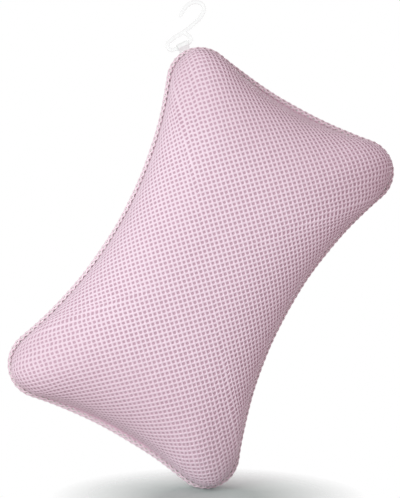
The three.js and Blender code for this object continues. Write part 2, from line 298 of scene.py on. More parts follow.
def flat_cut(dome, faces):
    """The dome's triangles unwrapped with the least stretch, at the pillow's size and along its axes."""
    select_only(dome)
    bpy.ops.object.mode_set(mode="EDIT")
    bpy.ops.mesh.select_all(action="SELECT")
    bpy.ops.uv.unwrap(
        method="MINIMUM_STRETCH", iterations=60, fill_holes=False, correct_aspect=False, margin=0)
    bpy.ops.object.mode_set(mode="OBJECT")
    corner = np.zeros(len(dome.data.loops), np.int32)
    dome.data.loops.foreach_get("vertex_index", corner)
    unwrapped = np.zeros(2 * len(corner), np.float32)
    dome.data.uv_layers.active.data.foreach_get("uv", unwrapped)
    flat = np.zeros((len(dome.data.vertices), 2))
    flat[corner] = unwrapped.reshape(-1, 2)
    flat -= flat[0]
    plan = points_of(dome)[:, [0, 2]]
    turn = atan2(np.sum(flat[:, 0] * plan[:, 1] - flat[:, 1] * plan[:, 0]), np.sum(flat * plan))
    area = sum(face.area for face in dome.data.polygons)
    scale = sqrt(2 * area / np.sum(np.abs(triangle_areas([flat[faces[:, k]] for k in range(3)]))))
    return flat @ np.array([[cos(turn), sin(turn)], [-sin(turn), cos(turn)]]) * scale


class Side:
    """The front or the back of the pillow: its dome, and how a flat cut of cloth lies over it."""

    AROUND = 96
    RINGS = 30

    def __init__(self, crown, flatness, facing):
        self.crown, self.flatness, self.facing = crown, flatness, facing
        around = np.linspace(-pi, pi, self.AROUND, endpoint=False)
        angle, share = np.meshgrid(around, np.sin(np.linspace(0, pi / 2, self.RINGS + 1)[1:]))
        angle, self.share = np.append(0, angle), np.append(0, share)
        self.way_out = np.stack([self.share * np.cos(angle), self.share * np.sin(angle)], 1)
        faces = []
        for i in range(self.AROUND):
            j = (i + 1) % self.AROUND
            faces.append((0, 1 + i, 1 + j))
            for inner in range(1, len(angle) - self.AROUND, self.AROUND):
                outer = inner + self.AROUND
                faces += [(inner + i, outer + i, outer + j), (inner + i, outer + j, inner + j)]
        self.faces = np.array(faces)
        dome = mesh_piece("dome", self.surface(angle, self.share), faces)
        self.flat = flat_cut(dome, self.faces)
        bpy.data.objects.remove(dome)
        self.tree = BVHTree.FromPolygons([(u, v, 0) for u, v in self.flat], faces)

    def surface(self, angle, share):
        """Points of the dome at a share of the way from the middle to the seam."""
        reach = round_seam(angle, seam_radii)
        x, z = reach * np.cos(angle), reach * np.sin(angle)
        rim = depth_inside(x, z) * share**RIM_FADE
        full = np.clip((depth_inside(x * share, z * share) - rim) / depth_inside(0, 0), 0, 1) ** CROWN_POWER
        rise = 1 - (1 - full) ** self.flatness
        out_x, out_z = round_seam(angle, seam_normals[:, 0]), round_seam(angle, seam_normals[:, 1])
        in_corner = np.minimum((x * z / (corner_x * corner_z)) ** 2, 1)
        at_sides = SIDE_BULGE * out_z**2 + END_BULGE * out_x**2
        at_corners = CORNER_BULGE * (1 + CORNER_TIP * (2 * out_x * out_z) ** 2)
        bulge = (at_sides + (at_corners - at_sides) * in_corner) * np.sin(pi * rise**BULGE_LEVEL)
        y = SEAM_Y + self.facing * (RIM_HEIGHT + (self.crown - RIM_HEIGHT) * rise)
        return np.stack([x * share + bulge * out_x, y, z * share + bulge * out_z], -1)

    def where(self, u, v):
        """Angle and share of the way out of points of the flat cut; points beyond its edge go to the edge."""
        hits = [self.tree.find_nearest((x, y, 0)) for x, y in zip(u, v)]
        spot = np.array([hit[0][:2] for hit in hits])
        corners = self.faces[[hit[2] for hit in hits]].T
        first, second, third = (self.flat[corner] for corner in corners)
        opposite = ((spot, second, third), (first, spot, third), (first, second, spot))
        parts = np.array([triangle_areas(three) for three in opposite])
        parts = parts / triangle_areas((first, second, third))
        way = sum(part[:, None] * self.way_out[corner] for part, corner in zip(parts, corners))
        share = sum(part * self.share[corner] for part, corner in zip(parts, corners))
        return np.arctan2(way[:, 1], way[:, 0]), np.clip(share, 0, 1)

    def lay(self, u, v):
        """Points of the dome under points of the flat cut, with normals and nearness to the seam."""
        angle, share = self.where(u, v)
        step = 0.001
        inner = np.clip(share, step, 1 - 1.5 * step)
        across = self.surface(angle + 2 * step, inner) - self.surface(angle - 2 * step, inner)
        outwards = self.surface(angle, inner + step) - self.surface(angle, inner - step)
        normals = self.facing * np.cross(across, outwards)
        near = np.arcsin(share) / (pi / 2)
        return self.surface(angle, share), normals / np.linalg.norm(normals, axis=1)[:, None], near


front_side = Side(FRONT_CROWN, FRONT_FLATNESS, -1)
back_side = Side(BACK_CROWN, BACK_FLATNESS, 1)


# Stuffed body
def body_skin():
    """The pillow's two domes as one closed skin of rings."""
    count, rings = 160, 26
    angle = np.linspace(-pi, pi, count, endpoint=False)
    shares = np.sin(np.linspace(0, pi / 2, rings + 1))[1:]
    front = [front_side.surface(angle, np.full(count, s)) for s in shares]
    back = [back_side.surface(angle, np.full(count, s)) for s in shares[::-1]]
    poles = [front_side.surface(np.zeros(1), np.zeros(1)), back_side.surface(np.zeros(1), np.zeros(1))]
    points = np.concatenate(front + back + poles)
    last = (2 * rings - 1) * count
    faces = []
    for i in range(count):
        j = (i + 1) % count
        for ring in range(0, last, count):
            faces.append((ring + i, ring + j, ring + count + j, ring + count + i))
        faces.append((len(points) - 2, j, i))
        faces.append((len(points) - 1, last + i, last + j))
    return points, faces


def swell(body):
    """Cloth simulation: the filling presses the skin outwards while the seam holds it."""
    start = points_of(body)
    held = np.flatnonzero(np.abs(start[:, 1] - SEAM_Y) < SEAM_HOLD)
    body.vertex_groups.new(name="seam").add(held.tolist(), 1.0, "REPLACE")
    modifier = body.modifiers.new("Cloth", "CLOTH")
    cloth = modifier.settings
    cloth.quality = 6
    cloth.mass = 0.2
    cloth.use_pressure = True
    cloth.uniform_pressure_force = 4
    cloth.vertex_group_mass = "seam"
    cloth.bending_stiffness = 1.5
    cloth.effector_weights.gravity = 0
    for step in range(1, SWELL_FRAMES + 1):
        scene.frame_set(step)
    swollen = body.evaluated_get(bpy.context.evaluated_depsgraph_get())
    move = points_of(swollen) - start
    body.modifiers.remove(modifier)
    scene.frame_set(1)
    length = np.linalg.norm(move, axis=1)[:, None]
    limited = SWELL_LIMIT * np.tanh(length / SWELL_LIMIT)
    set_points(body, start + move * limited / np.maximum(length, 1e-9))


def cup_place(number):
    low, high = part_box(f"eyelet_{number}")
    return (low.x + high.x) / 2, (low.z + high.z) / 2


def from_cup(points, number):
    x, z = cup_place(number)
    return np.hypot(points[:, 0] - x, points[:, 2] - z)


def keep_to_domes(body):
    """Limits how far the body strays from the domes that the covers are cut for, least at the seam."""
    points, faces = body_skin()
    domes = BVHTree.FromPolygons(points.tolist(), faces)
    places = points_of(body)
    for i, place in enumerate(places):
        near, inwards, _, distance = domes.find_nearest(place)
        give = GAP + COVER_GIVE * ease(0, SEAM_REACH, abs(place[1] - SEAM_Y))
        stray = (Vector(place) - near) * (give * np.tanh(distance / give) / max(distance, 1e-9))
        places[i] = near + stray + inwards * BODY_CLEARANCE
    set_points(body, places)


def stuffed_body():
    body = mesh_piece("stuffed_body", *body_skin())
    clean_up(body)
    normals = np.array([v.normal[:] for v in body.data.vertices])
    set_points(body, points_of(body) - normals * BODY_SHRINK)
    body.data.remesh_voxel_size = BODY_VOXEL
    bpy.ops.object.voxel_remesh()
    apply_modifier(body, "SMOOTH", factor=0.5, iterations=6)
    swell(body)
    keep_to_domes(body)
    apply_modifier(body, "SUBSURF", levels=1, render_levels=1)
    shade_smooth(body)
    return body


def press_in_cups(body):
    """Hollows the body where the cups' heads and backing discs sit."""
    points = points_of(body)
    for number in CUPS:
        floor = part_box(f"suction_cup_{number}")[0].y - GAP
        pressed = 1 - ease(SEAT_FLAT, SEAT_REACH, from_cup(points, number))
        sunk = np.minimum(points[:, 1], floor)
        behind = points[:, 1] > SEAM_Y
        points[:, 1] += np.where(behind, pressed * (sunk - points[:, 1]), 0)
    set_points(body, points)


# Air mesh: the rings go round a cell's edge in quarter diagonals, knot, strand, knot and so on
RING_A = np.array([2, 1, 0, -1, -2, -1, 0, 1])
RING_B = np.array([0, 1, 2, 1, 0, -1, -2, -1])
AROUND = np.arctan2(RING_B, RING_A)
uneven = np.random.default_rng(7)


def lattice(range_a, range_b):
    """Middles of the mesh's cells, in half diagonals of a cell."""
    a, b = (grid.ravel() for grid in np.meshgrid(range_a, range_b))
    even = (a + b) % 2 == 0
    return a[even], b[even]


def net_cells(a, b, hole_depth, wrap=None):
    """A net of cells with middles at (a, b) half diagonals of the flat cut, closed into a tube by wrap.

    Gives u and v of the vertices on the flat cut, their rise over the holes' edges, their depth from 0 on top
    to 1 at the bottom of a hole, and the faces. Cells share the vertices along their edges."""
    keys = np.stack([(2 * a[:, None] + RING_A).ravel(), (2 * b[:, None] + RING_B).ravel()], 1)
    if wrap:
        keys %= 2 * np.array(wrap)
    unique, edge = np.unique(keys, axis=0, return_inverse=True)
    edge = edge.reshape(-1, 8)
    over = ((unique[:, 0] + unique[:, 1]) // 2) % 2 == 0
    edge_rise = np.where(unique[:, 0] % 2 == 0, KNOT_RISE, np.where(over, *STRAND_RISE))
    count, cells = len(unique), len(a)
    hole = np.array([HOLE_ALONG, HOLE_TO_SIDE, HOLE_ACROSS, HOLE_TO_SIDE] * 2)
    hole = hole * (1 + HOLE_UNEVENNESS * uneven.uniform(-1, 1, (cells, 1)))
    middles = np.stack([a, b])[:, :, None] * HALF_DIAGONAL
    ways = np.stack([np.cos(AROUND), np.sin(AROUND)])[:, None]
    hole_u, hole_v = (middles + hole * ways).reshape(2, -1)
    foot_u, foot_v = (middles + HOLE_TAPER * hole * ways).reshape(2, -1)
    upper = count + np.arange(cells * 8).reshape(-1, 8)
    lower = upper + cells * 8
    faces = []
    for k in range(8):
        n = (k + 1) % 8
        faces.append(np.stack([edge[:, k], edge[:, n], upper[:, n], upper[:, k]], 1))
        faces.append(np.stack([upper[:, k], upper[:, n], lower[:, n], lower[:, k]], 1))
    edge_u, edge_v = unique.T * HALF_DIAGONAL / 2
    return SimpleNamespace(
        u=np.concatenate([edge_u, hole_u, foot_u]),
        v=np.concatenate([edge_v, hole_v, foot_v]),
        rise=np.concatenate([edge_rise, np.zeros(cells * 8), np.full(cells * 8, -hole_depth)]),
        depth=np.concatenate([np.zeros(count), np.full(cells * 8, 0.4), np.ones(cells * 8)]),
        faces=np.concatenate(faces),
    )


def store_map(piece, name, u, v):
    corner = np.zeros(len(piece.data.loops), np.int32)
    piece.data.loops.foreach_get("vertex_index", corner)
    flat = np.stack([u, v], 1)[corner].astype(np.float32)
    piece.data.uv_layers.new(name=name).data.foreach_set("uv", flat.ravel())


def net_piece(name, net, points, normals):
    """The net as a piece, with the maps that its material and its baking read."""
    faces = net.faces
    corners = points[faces]
    across = np.cross(corners[:, 2] - corners[:, 0], corners[:, 3] - corners[:, 1])
    if np.sum(across * normals[faces[:, 0]]) < 0:
        faces = faces[:, ::-1]
    piece = mesh_piece(name, points, faces[np.linalg.norm(across, axis=1) > 1e-9])
    depth = piece.data.attributes.new("depth", "FLOAT", "POINT")
    depth.data.foreach_set("value", net.depth.astype(np.float32))
    store_map(piece, "cells", (net.u + net.v) / sqrt(2) / CELL, (net.v - net.u) / sqrt(2) / CELL)
    span = max(np.ptp(net.u), np.ptp(net.v))
    store_map(piece, "OFBake", (net.u - net.u.min()) / span, (net.v - net.v.min()) / span)
    shade_smooth(piece)
    return piece


# Covers
def cover(name, side, body_tree):
    """One knitted cover: a flat net laid over its dome and pressed out by the stuffed body."""
    wide, high = int(0.6 * LENGTH / HALF_DIAGONAL), int(0.75 * WIDTH / HALF_DIAGONAL)
    a, b = lattice(np.arange(-wide, wide + 1), np.arange(-high, high + 1))
    middles, _, near = side.lay(a * HALF_DIAGONAL, b * HALF_DIAGONAL)
    kept = near < COVER_EDGE
    if side is back_side:
        for number in CUPS:
            kept &= from_cup(middles, number) > SEAT_HOLE
    net = net_cells(a[kept], b[kept], HOLE_DEPTH)
    points, normals, near = side.lay(net.u, net.v)
    free = 1 - near**SEAM_TIGHTNESS
    reach = 15 * MM
    for i in np.flatnonzero(free > 1e-3):
        start = Vector(points[i] + normals[i] * reach)
        hit, _, _, distance = body_tree.ray_cast(start, Vector(-normals[i]), 2 * reach)
        if hit is not None:
            points[i] += normals[i] * (reach - distance + BODY_CLEARANCE) * free[i]
    if side is back_side:
        for number in CUPS:
            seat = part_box(f"eyelet_{number}")[0].y - KNOT_RISE
            pressed = 1 - ease(SEAT_FLAT, SEAT_REACH, from_cup(points, number))
            points[:, 1] += pressed * (seat - points[:, 1])
    return net_piece(name, net, points + normals * (net.rise * free)[:, None], normals)


body = stuffed_body()
body_tree = BVHTree.FromObject(body, bpy.context.evaluated_depsgraph_get())
front_cover = cover("front_cover", front_side, body_tree)
back_cover = cover("back_cover", back_side, body_tree)
press_in_cups(body)
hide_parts("filling")
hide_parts("front_panel")
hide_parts("back_panel")


# Piping: a strip of the mesh folded round a cord, with its edges as a flange in the seam
pipe_points, pipe_normals = (np.concatenate([line, line[:1]]) for line in outline(PIPING_RADIUS, 1 * MM))
pipe_along = np.concatenate([[0], np.cumsum(np.linalg.norm(np.diff(pipe_points, axis=0), axis=1))])
PIPING_LENGTH = pipe_along[-1]


def pipe_surface(distance, angle, radius):
    """Points and normals on a tube along the piping; angle 0 faces into the seam."""
    middle = [np.interp(distance, pipe_along, pipe_points[:, k]) for k in (0, 1)]
    outward = [np.interp(distance, pipe_along, pipe_normals[:, k]) for k in (0, 1)]
    normals = np.stack([-outward[0] * np.cos(angle), np.sin(angle), -outward[1] * np.cos(angle)], -1)
    line = np.stack([middle[0], np.full_like(middle[0], SEAM_Y), middle[1]], -1)
    return line + normals * np.asarray(radius)[..., None], normals


def tube_faces(rings, around):
    """Quads over rings of points that close on themselves both ways."""
    ring, point = np.meshgrid(np.arange(rings), np.arange(around), indexing="ij")
    ahead, beside = (ring + 1) % rings, (point + 1) % around
    quads = [ring * around + point, ahead * around + point, ahead * around + beside, ring * around + beside]
    return np.stack([q.ravel() for q in quads], 1)


def piping_tube():
    repeats = 2 * round(PIPING_LENGTH / (2 * HALF_DIAGONAL))
    a, b = lattice(np.arange(repeats), np.arange(PIPING_ROUND))
    net = net_cells(a, b, PIPING_HOLE_DEPTH, wrap=(repeats, PIPING_ROUND))
    distance = net.u / (repeats * HALF_DIAGONAL) % 1 * PIPING_LENGTH
    angle = net.v / (PIPING_ROUND * HALF_DIAGONAL) * 2 * pi
    slack = PIPING_SLACK * (np.sin(distance / SLACK_WAVES[0]) + np.sin(distance / SLACK_WAVES[1] + 2))
    radius = PIPING_RADIUS - STRAND_RISE[0] / 2 + slack + net.rise * PIPING_RELIEF
    points, normals = pipe_surface(distance, angle, radius)
    return net_piece("piping", net, points, normals)


def piping_flange():
    outer, _ = outline(2 * PIPING_RADIUS - GAP)
    inner, _ = outline(SEAM_INSET + FLANGE_WIDTH)
    half = FLANGE_THICKNESS / 2
    loops = [(outer, half), (outer, -half), (inner, -half), (inner, half)]
    rings = [np.stack([line[:, 0], np.full(len(line), SEAM_Y + y), line[:, 1]], 1) for line, y in loops]
    flange = mesh_piece("flange", np.stack(rings, 1).reshape(-1, 3), tube_faces(len(outer), len(loops)))
    clean_up(flange)
    shade_smooth(flange, radians(40))
    return flange


def piping_cord():
    rings, around = round(PIPING_LENGTH / (1.5 * MM)), 12
    turns = round(PIPING_LENGTH / CORD_LAY)
    shares, angles = np.arange(rings) / rings, np.arange(around) / around * 2 * pi
    distance, angle = np.meshgrid(shares, angles, indexing="ij")
    strand = np.abs(np.cos(1.5 * (angle - 2 * pi * turns * distance)))
    radius = CORD_RADIUS * (1 - CORD_GROOVE + CORD_GROOVE * strand)
    points, _ = pipe_surface(distance * PIPING_LENGTH, angle, radius)
    cord = mesh_piece("piping_core", points.reshape(-1, 3), tube_faces(rings, around))
    clean_up(cord)
    store_map(cord, "twist", (distance * turns).ravel(), (angle / (2 * pi)).ravel())
    shade_smooth(cord)
    return cord


piping = piping_tube()
flange = piping_flange()
cord = piping_cord()
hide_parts("piping_cover")
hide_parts("piping_cord")


# Hanger on the corner: places are (along the edge, outwards) from where it leaves the piping
hanger_out = np.array([cos(LOOP_ANGLE), 0, sin(LOOP_ANGLE)])
hanger_edge = np.array([sin(LOOP_ANGLE), 0, -cos(LOOP_ANGLE)])
hook_low, hook_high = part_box("hang_hook")
HANGER_Y = (hook_low.y + hook_high.y) / 2
hanger_root = np.array([corner_x, 0, corner_z]) + CORNER_RADIUS * hanger_out + np.array([0, HANGER_Y, 0])
BAR_OUT = LOOP_RISE + BAR_RISE


def on_hanger(along, outwards, behind=0.0):
    along, outwards, behind = np.broadcast_arrays(along, outwards, behind)
    place = hanger_root + along[..., None] * hanger_edge + outwards[..., None] * hanger_out
    return place + behind[..., None] * np.array([0, 1, 0])


def bent_rod(waypoints):
    """A round rod smoothly through waypoints, given in parts of the hook's height over its eye bar."""
    bpy.ops.object.select_all(action="DESELECT")
    bpy.ops.curve.primitive_bezier_curve_add()
    rod = bpy.context.object
    spline = rod.data.splines[0]
    spline.bezier_points.add(len(waypoints) - len(spline.bezier_points))
    for point, (along, outwards) in zip(spline.bezier_points, waypoints):
        point.co = on_hanger(along * HOOK_HEIGHT, BAR_OUT + outwards * HOOK_HEIGHT)
        point.handle_left_type = "AUTO"
        point.handle_right_type = "AUTO"
    rod.data.dimensions = "3D"
    rod.data.bevel_depth = HOOK_RADIUS
    rod.data.bevel_resolution = 6
    rod.data.use_fill_caps = True
    bpy.ops.object.convert(target="MESH")
    return bpy.context.object


def ball(place, radius):
    bpy.ops.object.select_all(action="DESELECT")
    bpy.ops.mesh.primitive_uv_sphere_add(segments=24, ring_count=16, radius=radius, location=place)
    bpy.ops.object.transform_apply()
    return bpy.context.object


def hanging_hook():
    """A rod bent like a figure 2 whose lower end closes into the eye that the ribbon goes round."""
    bar = (RIBBON_WIDTH / 2 + BAR_SPARE) / HOOK_HEIGHT
    eye_corner = (bar + 0.08, 0.058)
    shank = [
        (0.325, 0.81), (0.505, 0.935), (0.737, 1), (0.953, 0.935), (1.036, 0.755), (0.88, 0.56), (0.6, 0.445),
        (0.25, 0.355), (-0.18, 0.295), (-bar - 0.165, 0.216), (-bar - 0.172, 0.058),
        (-bar, 0), (0, 0), (bar, 0), eye_corner,
    ]
    eye_end = [(bar - 0.035, 0), (bar + 0.03, 0.018), eye_corner, (bar + 0.058, 0.18), (bar - 0.036, 0.345)]
    tip = on_hanger(shank[0][0] * HOOK_HEIGHT, BAR_OUT + shank[0][1] * HOOK_HEIGHT)
    hook = bent_rod(shank)
    select_only(hook, bent_rod(eye_end), ball(tip, HOOK_RADIUS))
    bpy.ops.object.join()
    hook.name = hook.data.name = "hook"
    hook.data.remesh_voxel_size = HOOK_VOXEL
    bpy.ops.object.voxel_remesh()
    apply_modifier(hook, "SMOOTH", factor=0.5, iterations=6)
    shade_smooth(hook)
    return hook


def ribbon_line():
    """Side view of the ribbon, (outwards, behind): up one ply, round the hook's bar and down the other."""
    ply = (RIBBON_THICKNESS + PLY_GAP) / 2
    bend = HOOK_RADIUS + BAR_PLAY + RIBBON_THICKNESS / 2
    tail = np.linspace(-TAIL_DEPTH, LOOP_RISE - ply, 24)
    turn = np.linspace((pi - RIBBON_WRAP) / 2, (pi + RIBBON_WRAP) / 2, 40)
    line = np.concatenate([
        np.stack([tail, np.full_like(tail, ply)], 1),
        np.stack([BAR_OUT + bend * np.sin(turn), bend * np.cos(turn)], 1),
        np.stack([tail[::-1], np.full_like(tail, -ply)], 1),
    ])
    for _ in range(3):
        line[1:-1] = (line[:-2] + 2 * line[1:-1] + line[2:]) / 4
    return line


def hanging_ribbon():
    line = ribbon_line()
    along = np.concatenate([[0], np.cumsum(np.linalg.norm(np.diff(line, axis=0), axis=1))])
    bpy.ops.object.select_all(action="DESELECT")
    bpy.ops.mesh.primitive_grid_add(x_subdivisions=150, y_subdivisions=10, size=1)
    ribbon = bpy.context.object
    ribbon.name = ribbon.data.name = "ribbon"
    grid = points_of(ribbon)
    distance = (grid[:, 0] + 0.5) * along[-1]
    outwards, behind = (np.interp(distance, along, line[:, k]) for k in (0, 1))
    set_points(ribbon, on_hanger(grid[:, 1] * RIBBON_WIDTH, outwards, behind))
    apply_modifier(ribbon, "SOLIDIFY", thickness=RIBBON_THICKNESS, offset=0.0)
    clean_up(ribbon)
    shade_smooth(ribbon, radians(40))
    return ribbon


hook = hanging_hook()
ribbon = hanging_ribbon()
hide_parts("hang_hook")
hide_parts("loop_tail", "hang_loop")


# Suction cups
def round_corners(corners, steps=4):
    """Corner points (radius, height, rounding) as a line with a curve at each corner that has a rounding."""
    places = np.array([corner[:2] for corner in corners])
    line = []
    for i, (_, _, rounding) in enumerate(corners):
        if not rounding:
            line.append(places[i])
            continue
        towards = [places[k] - places[i] for k in (i - 1, i + 1)]
        start, end = (places[i] + way * rounding / np.linalg.norm(way) for way in towards)
        for t in np.linspace(0, 1, steps + 1):
            line.append((1 - t) ** 2 * start + 2 * t * (1 - t) * places[i] + t**2 * end)
    return line


def turned(name, profile, turns):
    """A profile of (radius, height) points spun round the Y axis."""
    points = [(radius, height, 0) for radius, height in profile]
    piece = mesh_piece(name, points, [], [(i, i + 1) for i in range(len(points) - 1)])
    select_only(piece)
    bpy.ops.object.mode_set(mode="EDIT")
    bpy.ops.mesh.select_all(action="SELECT")
    bpy.ops.mesh.spin(steps=turns, angle=2 * pi, center=(0, 0, 0), axis=(0, 1, 0))
    bpy.ops.object.mode_set(mode="OBJECT")
    clean_up(piece)
    return piece


def pull_tab(cup):
    """Draws a tab out of the cup's rim on its +X side, narrowing to a rounded end."""
    half_angle = TAB_WIDTH / 2 / CUP_RADIUS
    select_only(cup)
    bpy.ops.object.mode_set(mode="EDIT")
    bpy.ops.mesh.select_mode(type="FACE")
    bpy.ops.mesh.select_all(action="DESELECT")
    bpy.ops.object.mode_set(mode="OBJECT")
    for face in cup.data.polygons:
        x, _, z = face.center
        face.select = abs(face.normal.y) < 0.5 and x > 0.98 * CUP_RADIUS and abs(atan2(z, x)) < half_angle
    bpy.ops.object.mode_set(mode="EDIT")
    for reach, narrowing in ((0.62, 1), (0.26, 0.86), (0.12, 0.6)):
        bpy.ops.mesh.extrude_region_move(TRANSFORM_OT_translate={"value": (reach * TAB_REACH, 0, 0)})
        bpy.ops.transform.resize(value=(1, 1, narrowing), center_override=(CUP_RADIUS, 0, 0))
    bpy.ops.object.mode_set(mode="OBJECT")


def suction_cup():
    """One cup at the origin with its tab towards +X: head, neck, collar, then a bell with a hollow bowl."""
    cup_low, cup_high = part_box("suction_cup_1")
    wall = cup_high.y
    head_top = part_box("backing_disc_1")[0].y - GAP
    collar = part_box("eyelet_1")[1].y + GAP
    bell = collar + COLLAR_HEIGHT
    corners = [
        (0, cup_low.y, 0),
        (HEAD_RADIUS, cup_low.y, 2 * MM),
        (HEAD_RADIUS, head_top, 0.6 * MM),
        (NECK_RADIUS, head_top, 0.4 * MM),
        (NECK_RADIUS, collar, 0.4 * MM),
        (COLLAR_RADIUS, collar, 0.6 * MM),
        (COLLAR_RADIUS, bell, 0.9 * MM),
    ]
    for t in np.linspace(0, 1, 9)[1:-1]:
        radius = COLLAR_RADIUS + (CUP_RADIUS - COLLAR_RADIUS) * t
        corners.append((radius, bell + (wall - CUP_RIM_HEIGHT - bell) * t**BELL_FLARE, 0))
    bowl = CUP_RADIUS - BOWL_RIM
    corners += [
        (CUP_RADIUS, wall - CUP_RIM_HEIGHT, 0.12 * MM),
        (CUP_RADIUS, wall, 0.12 * MM),
        (bowl, wall, 0.4 * MM),
    ]
    for t in np.linspace(1, 0, 14)[1:]:
        corners.append((bowl * t, wall - BOWL_DEPTH * (1 - t**2), 0))
    cup = turned("suction_cup", round_corners(corners), CUP_TURNS)
    pull_tab(cup)
    apply_modifier(cup, "BEVEL", width=0.2 * MM, segments=2, limit_method="ANGLE", angle_limit=radians(50))
    shade_smooth(cup, radians(45))
    return cup


def bound_eyelet():
    """One eyelet at the origin: a flat ring wound with thread."""
    low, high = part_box("eyelet_1")
    outer, bore = (high.x - low.x) / 2, NECK_RADIUS + NECK_CLEARANCE
    bpy.ops.object.select_all(action="DESELECT")
    bpy.ops.mesh.primitive_torus_add(
        rotation=(pi / 2, 0, 0), major_segments=EYELET_WRAPS * 6, minor_segments=12,
        major_radius=(outer + bore) / 2, minor_radius=(outer - bore) / 2)
    bpy.ops.transform.resize(value=(1, (high.y - low.y) / (outer - bore), 1))
    bpy.ops.transform.translate(value=(0, (low.y + high.y) / 2, 0))
    bpy.ops.object.transform_apply()
    eyelet = bpy.context.object
    points = points_of(eyelet)
    angle = np.arctan2(points[:, 2], points[:, 0])
    middle = np.stack([np.cos(angle), np.zeros(len(angle)), np.sin(angle)], 1) * (outer + bore) / 2
    middle[:, 1] = (low.y + high.y) / 2
    thread = 1 - THREAD_GROOVE * (0.5 + 0.5 * np.cos(EYELET_WRAPS * angle))
    set_points(eyelet, middle + (points - middle) * thread[:, None])
    shade_smooth(eyelet)
    return eyelet


def set_at_cup(model, name, number):
    """A copy of a model at one cup, turned so that its +X side faces away from the pillow's middle."""
    x, z = cup_place(number)
    copy = copy_of(model, name)
    copy.data.transform(Matrix.Translation((x, 0, z)) @ Matrix.Rotation(-atan2(z, x), 4, "Y"))
    return copy


cup_model, eyelet_model = suction_cup(), bound_eyelet()
cups = [set_at_cup(cup_model, f"cup_{number}", number) for number in CUPS]
eyelets = [set_at_cup(eyelet_model, f"eyelet_binding_{number}", number) for number in CUPS]
for model in (cup_model, eyelet_model):
    bpy.data.objects.remove(model)
for number, cup, eyelet in zip(CUPS, cups, eyelets):
    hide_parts(f"suction_cup_{number}")
    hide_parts(f"eyelet_{number}")
discs = [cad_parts[f"backing_disc_{number}"] for number in CUPS]


# Materials
def srgb(red, green, blue):
    """Linear colour of screen values from 0 to 255."""
    def linear(value):
        part = value / 255
        return part / 12.92 if part <= 0.04045 else ((part + 0.055) / 1.055) ** 2.4
    return (linear(red), linear(green), linear(blue), 1)


def add(tree, kind, inputs=(), **settings):
    """A node with its settings, and its inputs linked or set, by name or number."""
    node = tree.nodes.new(f"ShaderNode{kind}")
    for name, value in settings.items():
        setattr(node, name, value)
    for key, value in dict(inputs).items():
        if isinstance(value, bpy.types.NodeSocket):
            tree.links.new(value, node.inputs[key])
        else:
            node.inputs[key].default_value = value
    return node


def math(tree, operation, *values):
    return add(tree, "Math", dict(enumerate(values)), operation=operation).outputs[0]


def blend_colour(tree, factor, first, second):
    node = add(tree, "Mix", {0: factor, 6: first, 7: second}, data_type="RGBA")
    return node.outputs[2]


def noise(tree, place, scale, detail=2.0):
    return add(tree, "TexNoise", {"Vector": place, "Scale": scale, "Detail": detail}).outputs["Fac"]


def feed(tree, sockets, **values):
    """Links values to sockets, whose names are written with _ for spaces."""
    for label, value in values.items():
        tree.links.new(value, sockets[label.replace("_", " ")])


def new_group(name, inputs, outputs):
    """A node group with inputs {name: default}, vectors where the default is None, and value outputs."""
    tree = bpy.data.node_groups.new(name, "ShaderNodeTree")
    for label, default in inputs.items():
        kind = "NodeSocketVector" if default is None else "NodeSocketFloat"
        socket = tree.interface.new_socket(label, in_out="INPUT", socket_type=kind)
        if default is not None:
            socket.default_value = default
    for label in outputs:
        tree.interface.new_socket(label, in_out="OUTPUT", socket_type="NodeSocketFloat")
    return tree, tree.nodes.new("NodeGroupInput").outputs, tree.nodes.new("NodeGroupOutput").inputs


def knit_group():
    """Filaments of the strands between a net's holes. Cells counts cells; whole numbers are their middles."""
    tree, given, result = new_group("knit", {"Cells": None, "Filaments": 9.0}, ("Shade", "Height"))
    place = add(tree, "SeparateXYZ", {0: given["Cells"]})
    off = [math(tree, "SUBTRACT", math(tree, "FRACT", place.outputs[k]), 0.5) for k in (0, 1)]
    away = [math(tree, "ABSOLUTE", value) for value in off]
    along_second = math(tree, "LESS_THAN", away[0], away[1])
    across = add(tree, "Mix", {0: along_second, 2: away[1], 3: away[0]}).outputs[0]
    along = add(tree, "Mix", {0: along_second, 2: place.outputs[0], 3: place.outputs[1]}).outputs[0]
    # Loops of the knit run in chevrons along each strand, and filaments along the loops
    turns = math(tree, "MULTIPLY_ADD", along, 5.0, math(tree, "MULTIPLY", across, 6.0))
    loops = math(tree, "SINE", math(tree, "MULTIPLY", turns, 2 * pi))
    lines = math(tree, "MULTIPLY", math(tree, "MULTIPLY", across, given["Filaments"]), 2 * pi)
    fibre = math(tree, "SINE", math(tree, "ADD", lines, loops))
    height = math(tree, "MULTIPLY_ADD", loops, 0.3, math(tree, "MULTIPLY_ADD", fibre, 0.2, 0.5))
    feed(tree, result, Height=height, Shade=math(tree, "MULTIPLY", height, height))
    return tree


def mottle_group():
    """Slow unevenness of dyed cloth, with fine fibre fuzz in it."""
    inputs = {"Place": None, "Scale": 30.0, "Fuzz": 900.0}
    tree, given, result = new_group("mottle", inputs, ("Mottle", "Height"))
    slow = noise(tree, given["Place"], given["Scale"])
    fuzz = noise(tree, given["Place"], given["Fuzz"], 3.0)
    mixed = math(tree, "MULTIPLY_ADD", slow, 0.65, math(tree, "MULTIPLY", fuzz, 0.35))
    feed(tree, result, Mottle=mixed, Height=fuzz)
    return tree


